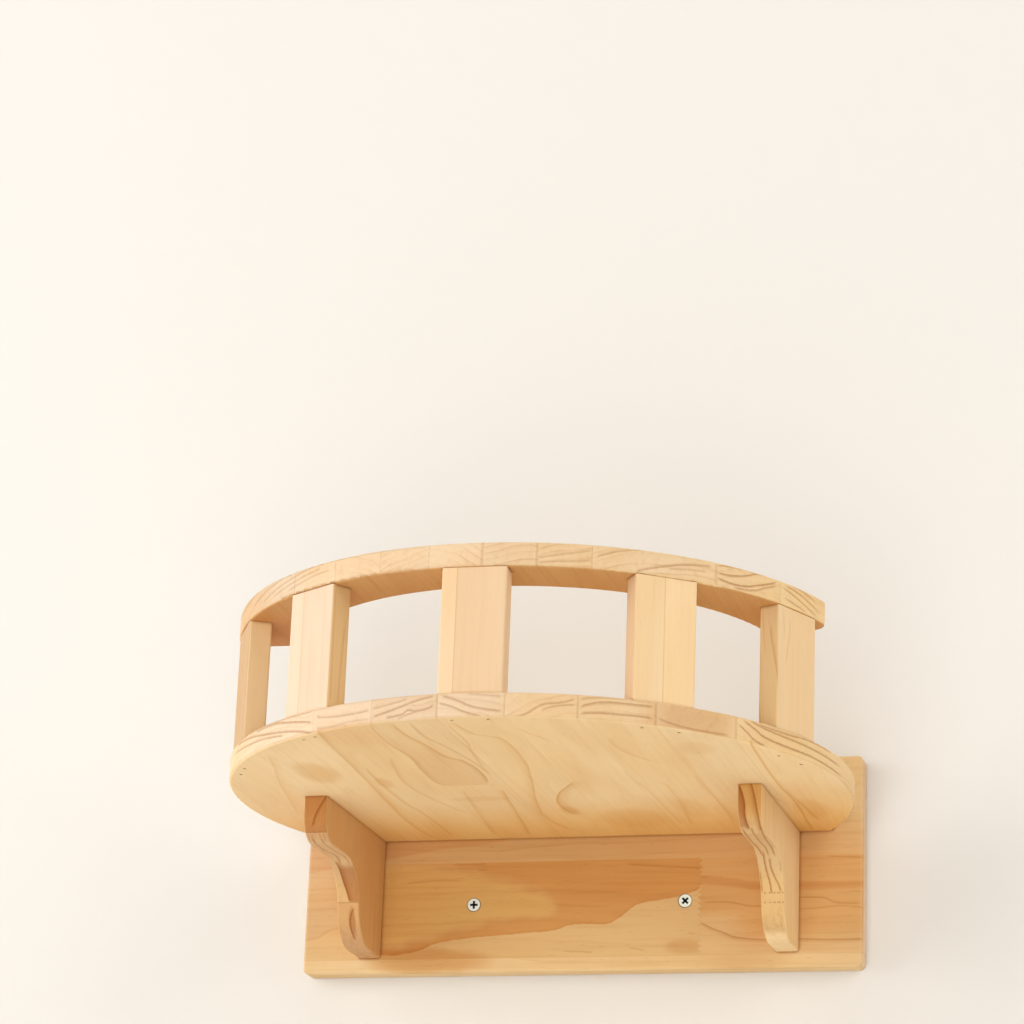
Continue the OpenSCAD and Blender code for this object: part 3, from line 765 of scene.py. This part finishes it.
def left_stains(grain, front, edge):
    """What sets the left bracket apart: dark above its high step and below one line, broken dashes, painted
    shade on its sides.
    """
    g = grain.g
    u, w = grain.u, grain.w
    below = front.beyond(LEFT_BELOW, 0.4) * g.smooth(u, LOW_STEP, LOW_STEP + 0.4) * g.smooth(u, 15.0, 11.0)
    dashes = g.smooth(g.noise(g.join(w * 1.1, 5.0, 0.0), 0.0), 0.5, 0.62)
    dashes = dashes * g.within(u, 17.5, 22.5, 1.0)
    low_step, high_step = [g.smooth(g.size(u - place), 0.6, 0.2) for place in (LOW_STEP, HIGH_STEP)]
    step = g.most(low_step, high_step * 0.7)
    mottle = g.smooth(g.noise(g.join(u * 1.2, w * 1.2, 7.0), 1.0), 0.52, 0.70)
    return [
        (g.smooth(u, HIGH_STEP - 0.4, HIGH_STEP) * edge, DEEP_TINT),
        (below * edge * 0.85, DEEP_TINT),
        (g.smooth(u, HIGH_STEP, HIGH_STEP - 0.4) * edge, LEFT_MIDDLE_TINT),
        (g.smooth(u, LOW_STEP + 0.4, LOW_STEP) * edge, LEFT_FOOT_TINT),
        (front.spot(-21.5, 2.6, 12.0, 3.2) * edge * 0.7, DEEP_TINT),
        (mottle * edge * 0.35, GOLD_TINT),
        # Painted shade on the left bracket's flat sides
        (1.0 - edge, LEFT_FACE_SHADE_TINT),
        (g.smooth(u, 17.0, 21.0) * g.smooth(u, HIGH_STEP, HIGH_STEP - 0.4) * edge * 0.35, HEART_TINT),
        (dashes * edge * 0.4, SEAM_TINT),
        (step * edge * 0.35, SEAM_TINT),
    ]


def right_stains(grain, front, edge):
    """What sets the right bracket apart: golden at the top, painted light under the foot, rows of dashes, a
    ring.
    """
    g = grain.g
    u, w = grain.u, grain.w
    dashes = g.smooth(g.noise(g.join(w * 0.9, 3.0, 0.0), 0.0), 0.48, 0.58)
    dash_rows = g.most(*[g.smooth(g.size(u - row), 0.8, 0.3) for row in DASH_ROWS])
    off_u, off_w = u - RING_MIDDLE[0], w - RING_MIDDLE[1]
    far = g.math("SQRT", off_w * off_w + off_u * off_u * 0.5)
    outside = (1.0 - front.beyond(RIGHT_OUTSIDE, 0.4)) * g.smooth(u, 18.0, 21.0)
    broken = g.smooth(g.noise(g.join(u * 0.35, w * 0.35, 9.0), 1.0), 0.40, 0.58)
    ring = g.smooth(g.size(far - RING_RADIUS), 1.3, 0.2) * broken
    return [
        (g.smooth(u, 16.0, 32.0) * edge * 0.80, RIGHT_TOP_TINT),
        # Painted light: faces that point down at the foot are made much paler
        (g.smooth(grain.end, -0.6, -0.9) * g.smooth(u, -30.0, -34.0), RIGHT_FOOT_LIGHT_TINT),
        (outside * edge * 0.70, DEEP_TINT),
        (dash_rows * dashes * edge * 0.8, SEAM_TINT),
        (ring * edge * 0.3, LATE_TINT),
    ]


def bracket_figure(rows, bulge_rows, own_stains):
    """The figure of a bracket, with its own lines down the edge, lines on the bulge and colours."""

    def figure(grain, after):
        g = grain.g
        u, w = grain.u, grain.w
        edge = g.smooth(g.size(grain.face), 0.85, 0.55)
        front = grain.seen(u, w).frayed(0.35)
        bulge = grain.seen(grain.v, w)
        lines = [front.line(points, strength, 0.65, tail, 2.0) for points, strength, tail in rows]
        on_bulge = [bulge.line(points, strength, 0.6, tail, 3.0) for points, strength, tail in bulge_rows]
        on_bulge = g.most(*on_bulge) * g.smooth(u, 12.5, 15.0) * g.smooth(u, 20.5, 18.5)
        dark = g.most(g.most(*lines), on_bulge) * edge
        stains = [(dark, LATE_TINT), (dark * 0.75, LATE_TINT), (edge, EDGE_TINT)]
        return stains + own_stains(grain, front, edge)

    return figure


BOARD_COLOUR = (0.76, 0.545, 0.283)
BRACKET_COLOUR = (0.78, 0.545, 0.28)
# The pieces' middles
PLATFORM_MIDDLE = (0, 0, 0.055)
RAIL_MIDDLE = (0, 0, 0.153)
BOARD_MIDDLE = (0, -0.008, 0)
BRACKETS = [
    # side, place along the wall, figure
    ("left", -0.151, bracket_figure(LEFT_LINES, LEFT_BULGE, left_stains)),
    ("right", 0.148, bracket_figure(RIGHT_LINES, RIGHT_BULGE, right_stains)),
]
dress("platform", pine("platform_pine", PLATFORM_MIDDLE, (Y, X, Z), PLATFORM_STAVES, 3.0, platform_figure,
                       wander=9.0, fibres=0.6, contact_shade=0.4))
dress("top_rail", pine("rail_pine", RAIL_MIDDLE, (Y, X, Z), RAIL_STAVES, 11.0, rail_figure))
dress("back_board", pine("board_pine", BOARD_MIDDLE, (X, Z, (0, -1, 0)), BOARD_STAVES, 5.0, board_figure,
                         BOARD_COLOUR, teeth=3.0, wander=9.0, face_share=0.8))
for side, x, figure in BRACKETS:
    dress(f"bracket_{side}", pine(f"bracket_pine_{side}", (x, 0, 0), (Z, Y, X), BRACKET_STAVES, 30.0 + x,
                                  figure, BRACKET_COLOUR, contact_shade=0.6))

# The balusters: plain, nearly white wood

BALUSTER_RING = 0.2
BALUSTER_RING_Y = -0.126
BALUSTER_MIDDLE_Z = 0.1
BALUSTERS = [
    # angle, colour, painted light and shade on the front, the same on the sides, tones of two strips, edge
    # between them,
    # dark lines on the front and on the sides as (points (height, across), strength, tail)
    (-62, (0.83, 0.59, 0.32), (0.70, 0.63, 0.59), (1.00, 1.00, 1.00), (1.00, 1.00), 0.0, [], []),
    (-32, (0.82, 0.58, 0.405), (1.00, 1.00, 1.00), (0.86, 0.82, 0.55), (1.03, 0.99), -8.0,
     [([(-37, 12.5), (0, 13.0), (44, 12.0)], 0.12, 4.0)],
     [([(-38, 4.6), (0, 4.9), (46, 5.3)], 0.35, 3.0), ([(-38, -1.5), (-5, -2.6), (25, -4.8)], 0.4, 2.5)]),
    (2, (0.78, 0.55, 0.33), (1.00, 1.00, 1.00), (1.00, 1.00, 1.00), (1.07, 0.98), -11.0, [], []),
    (36, (0.83, 0.61, 0.36), (1.00, 1.00, 0.97), (0.97, 0.95, 1.00), (1.00, 1.01), -1.0, [], []),
    (66, (0.81, 0.58, 0.325), (1.00, 1.02, 1.07), (0.95, 0.95, 0.88), (1.00, 1.00), -32.0,
     [([(3, -14.5), (15, -11.5), (30, -9.0), (42, -8.6)], 0.3, 3.0),
      ([(20, -14.5), (33, -15.3), (46, -16.2)], 0.35, 2.0)],
     [([(-24, 7.6), (-5, 7.0), (10, 4.5), (25, 1.5), (36, 0.5)], 0.6, 4.0),
      ([(-38, -4.5), (-20, -6.5), (2, -8.0)], 0.45, -3.0),
      ([(10, -3.0), (30, -4.5), (46, -5.5)], 0.35, 2.5)]),
]


def baluster_figure(front_painted_light, side_painted_light, edge, front_rows, side_rows):
    """The figure of a baluster, with a faint glue line at edge, a few dark lines, and painted light and shade
    on its faces.
    """

    def figure(grain, after):
        g = grain.g
        front = g.smooth(grain.face, 0.5, 0.8)
        side = g.smooth(g.size(grain.side), 0.5, 0.8)
        stains = [
            # Painted light and shade: the front and the sides each get their own tint
            (front, front_painted_light),
            (side, side_painted_light),
            (g.smooth(g.size(grain.v - edge), 0.55, 0.15) * front * 0.45, GOLD_TINT),
        ]
        on_side = grain.seen(grain.u, grain.w)
        for share, seen, rows in ((front, grain, front_rows), (side, on_side, side_rows)):
            for points, strength, tail in rows:
                stains.append((seen.line(points, strength, 0.6, tail, 10.0) * share, LATE_TINT))
        return stains

    return figure


def baluster_pine(index, angle, colour, front_painted_light, side_painted_light, tones, edge, front_rows, side_rows):
    """The pine of one baluster, made of two strips, at its place round the ring."""
    a = math.radians(angle)
    tangent = (math.cos(a), math.sin(a), 0)
    outward = (math.sin(a), -math.cos(a), 0)
    centre = (BALUSTER_RING * math.sin(a), BALUSTER_RING_Y - BALUSTER_RING * math.cos(a), BALUSTER_MIDDLE_Z)
    strips = [
        (-40.0, -60.0, -90.0, 9.0, 0.14, tones[0], 0.0, NO_JOINT),
        (edge, 70.0, -120.0, 9.0, 0.12, tones[1], 0.0, NO_JOINT),
    ]
    figure = baluster_figure(front_painted_light, side_painted_light, edge, front_rows, side_rows)
    return pine(f"baluster_pine_{index + 1}", centre, (Z, tangent, outward), strips, 20.0 + index, figure,
                colour, fibres=0.5)


for index, row in enumerate(BALUSTERS):
    dress(f"baluster_{index + 1}", baluster_pine(index, *row))

# The steel's colours

WALL_SCREWS = [
    # side, place along the wall in mm, turn of the cross recess in degrees
    ("left", -76.0, 0.0),
    ("right", 76.0, 45.0),
]
crosses = [(x, turn) for _, x, turn in WALL_SCREWS]
steel = metal("zinc_plate", (0.68, 0.72, 0.70), 0.32)
wall_steel = metal("zinc_plate_wall", (0.72, 0.79, 0.76), 0.28, crosses)
dark_steel = metal("drawn_steel", (0.34, 0.31, 0.28), 0.4)
for name in nodes:
    if "screw" in name:
        dress(name, steel)
    if "brads" in name:
        dress(name, dark_steel)

# The wall screws: the head and neck of the frame's own, and a real thread behind them

# Depths, in mm, are along Y: the neck is cut where the thread takes over
NECK_CUT = -0.8
THREAD_START = -1.2
THREAD_END = 34.3
THREAD_PITCH = 2.2
THREAD_RADIUS = 2.5
THREAD_ROOT = 1.7
# Half the ridge as a share of the pitch, the length of the point, and its blunt end as a share of the radius
RIDGE_HALF = 0.26
POINT_LENGTH = 6.0
POINT_SHARE = 0.02
TURN_STEPS = 28
TURN_ROWS = 10


def thread_ring(made, x, y):
    """The vertices round the screw's thread at depth y."""
    rise = min(1.0, (y - THREAD_START) / THREAD_PITCH)
    taper = max(POINT_SHARE, min(1.0, (THREAD_END - y) / POINT_LENGTH))
    ring = []
    for step in range(TURN_STEPS):
        turn = step / TURN_STEPS
        phase = (y / THREAD_PITCH - turn) % 1.0
        ridge = max(0.0, 1.0 - abs(phase - 0.5) / RIDGE_HALF) * rise
        radius = (THREAD_ROOT + (THREAD_RADIUS - THREAD_ROOT) * ridge) * taper
        place = (radius * math.sin(2 * math.pi * turn), y, radius * math.cos(2 * math.pi * turn))
        ring.append(made.verts.new(Vector(place) * MM + Vector((x, 0, 0))))
    return ring


def wall_screw(side, x):
    """A wall screw with a real thread, which stands for the frame's own."""
    made = bmesh.new()
    made.from_mesh(nodes[f"wall_screw_{side}"].data)
    everything = made.verts[:] + made.edges[:] + made.faces[:]
    neck = (0, NECK_CUT * MM, 0)
    bmesh.ops.bisect_plane(made, geom=everything, plane_co=neck, plane_no=Y, clear_outer=True)
    rows = round((THREAD_END - THREAD_START) / THREAD_PITCH * TURN_ROWS)
    depths = [THREAD_START + (THREAD_END - THREAD_START) * row / rows for row in range(rows + 1)]
    rings = [thread_ring(made, x, y) for y in depths]
    for near, far in zip(rings, rings[1:]):
        for step in range(TURN_STEPS):
            other = (step + 1) % TURN_STEPS
            made.faces.new((near[step], near[other], far[other], far[step])).smooth = True
    made.faces.new(rings[-1])
    made.faces.new(rings[0][::-1])
    bmesh.ops.recalc_face_normals(made, faces=made.faces[:])
    mesh = bpy.data.meshes.new(f"threaded_wall_screw_{side}")
    made.to_mesh(mesh)
    made.free()
    mesh.materials.append(wall_steel)
    screw = bpy.data.objects.new(f"threaded_wall_screw_{side}", mesh)
    bpy.context.scene.collection.objects.link(screw)
    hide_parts(f"wall_screw_{side}")
    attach(screw, "root")


for side, x, _ in WALL_SCREWS:
    wall_screw(side, x * MM)


# Stage: a plain pale wall and floor


def is_seen(g):
    """1 for the rays that show the background: the camera's, and those through gloss and glass."""
    made = g.node("ShaderNodeLightPath").socket.node
    names = ("Is Camera Ray", "Is Glossy Ray", "Is Transmission Ray")
    return g.most(*[Field(g, made.outputs[name]) for name in names])


def stage_plane(name, size, location, rotation, colour):
    """A square of plain paint that shows only from its front."""
    bpy.ops.mesh.primitive_plane_add(size=size, location=location, rotation=rotation)
    plane = bpy.context.object
    plane.name = name
    material, g, shader = new_material(name + "_paint", Roughness=0.9, Specular_IOR_Level=0.1)
    shader.inputs["Base Color"].default_value = (*colour, 1.0)
    behind = g.node("ShaderNodeNewGeometry", output="Backfacing")
    clear = g.node("ShaderNodeBsdfTransparent")
    out = next(n for n in g.tree.nodes if n.type == "OUTPUT_MATERIAL")
    mixed = g.node("ShaderNodeMixShader", {0: behind, 1: Field(g, shader.outputs[0]), 2: clear})
    g.tree.links.new(mixed.socket, out.inputs["Surface"])
    plane.data.materials.append(material)
    return plane


WALL_PAINT = (0.78, 0.745, 0.69)
WALL_SIZE = 4.4
# The wall's face lies just in front of the board's back, and the wall ends at the floor
WALL_MIDDLE = (0, -0.5 * MM, 0.9)
FLOOR_PAINT = (0.80, 0.76, 0.70)
FLOOR_SIZE = 12.0
FLOOR_MIDDLE = (0, -4.0, WALL_MIDDLE[2] - WALL_SIZE / 2)
stage_plane("wall", WALL_SIZE, WALL_MIDDLE, (math.radians(90), 0, 0), WALL_PAINT)
floor = stage_plane("floor", FLOOR_SIZE, FLOOR_MIDDLE, (0, 0, 0), FLOOR_PAINT)
floor.visible_camera = False

# The share of the room's light that falls on the wood; rays that show the background see all of it
ROOM_LIGHT = 0.04
ROOM_COLOUR = (1.0, 0.99, 0.97, 1.0)
world = bpy.data.worlds.new("room")
bpy.context.scene.world = world
world.use_nodes = True
g = Graph(world.node_tree)
background = world.node_tree.nodes["Background"]
background.inputs["Color"].default_value = ROOM_COLOUR
g.link(is_seen(g) * (1.0 - ROOM_LIGHT) + ROOM_LIGHT, background.inputs["Strength"])


LAMP_WIDTH = 1.8
LAMP_TARGET = Vector((0.0, -0.15, 0.06))
LAMPS = [
    # name, place, power in watts
    ("left", (-2.4, -1.1, 0.2), 43),
    ("left_high", (-1.6, -2.3, 1.5), 20),
    ("right_high", (1.9, -2.0, 1.5), 22),
    ("right", (2.4, -1.1, 0.2), 21),
    ("front_low", (0.1, -2.4, -0.7), 23),
    ("top", (0.0, -0.8, 2.4), 17),
    ("behind_the_wall", (0.5, 2.4, 1.0), 40),
]


def area_lamp(name, place, power):
    """A soft round lamp that points at the middle of the perch."""
    data = bpy.data.lights.new(name, "AREA")
    data.shape = "DISK"
    data.size = LAMP_WIDTH
    data.energy = power
    lamp = bpy.data.objects.new(name, data)
    bpy.context.scene.collection.objects.link(lamp)
    lamp.location = place
    lamp.rotation_euler = (LAMP_TARGET - Vector(place)).to_track_quat("-Z", "Y").to_euler()


for lamp in LAMPS:
    area_lamp(*lamp)


# Camera: fitted to the photograph's outlines with the part's sizes

CAMERA_AZIMUTH = math.radians(15.76)
CAMERA_RISE = math.radians(18.533)
CAMERA_ROLL = math.radians(2.2735)
CAMERA_DISTANCE = 2.52987
CAMERA_TARGET = Vector((-0.05972, -0.015, 0.291092))
FOCAL_PIXELS = 3469.94
PHOTO_PIXELS = 1024

back = Vector((
    math.sin(CAMERA_AZIMUTH) * math.cos(CAMERA_RISE),
    -math.cos(CAMERA_AZIMUTH) * math.cos(CAMERA_RISE),
    -math.sin(CAMERA_RISE),
))
right = (-back).cross(Vector(Z)).normalized()
up = back.cross(right)
tilted_right = math.cos(CAMERA_ROLL) * right + math.sin(CAMERA_ROLL) * up
tilted_up = math.cos(CAMERA_ROLL) * up - math.sin(CAMERA_ROLL) * right
camera_data = bpy.data.cameras.new("camera")
camera_data.lens = FOCAL_PIXELS / PHOTO_PIXELS * camera_data.sensor_width
camera = bpy.data.objects.new("camera", camera_data)
bpy.context.scene.collection.objects.link(camera)
camera.matrix_world = (
    Matrix.Translation(CAMERA_TARGET + CAMERA_DISTANCE * back)
    @ Matrix((tilted_right, tilted_up, back)).transposed().to_4x4()
)
bpy.context.scene.camera = camera
bpy.context.scene.view_settings.view_transform = "Standard"
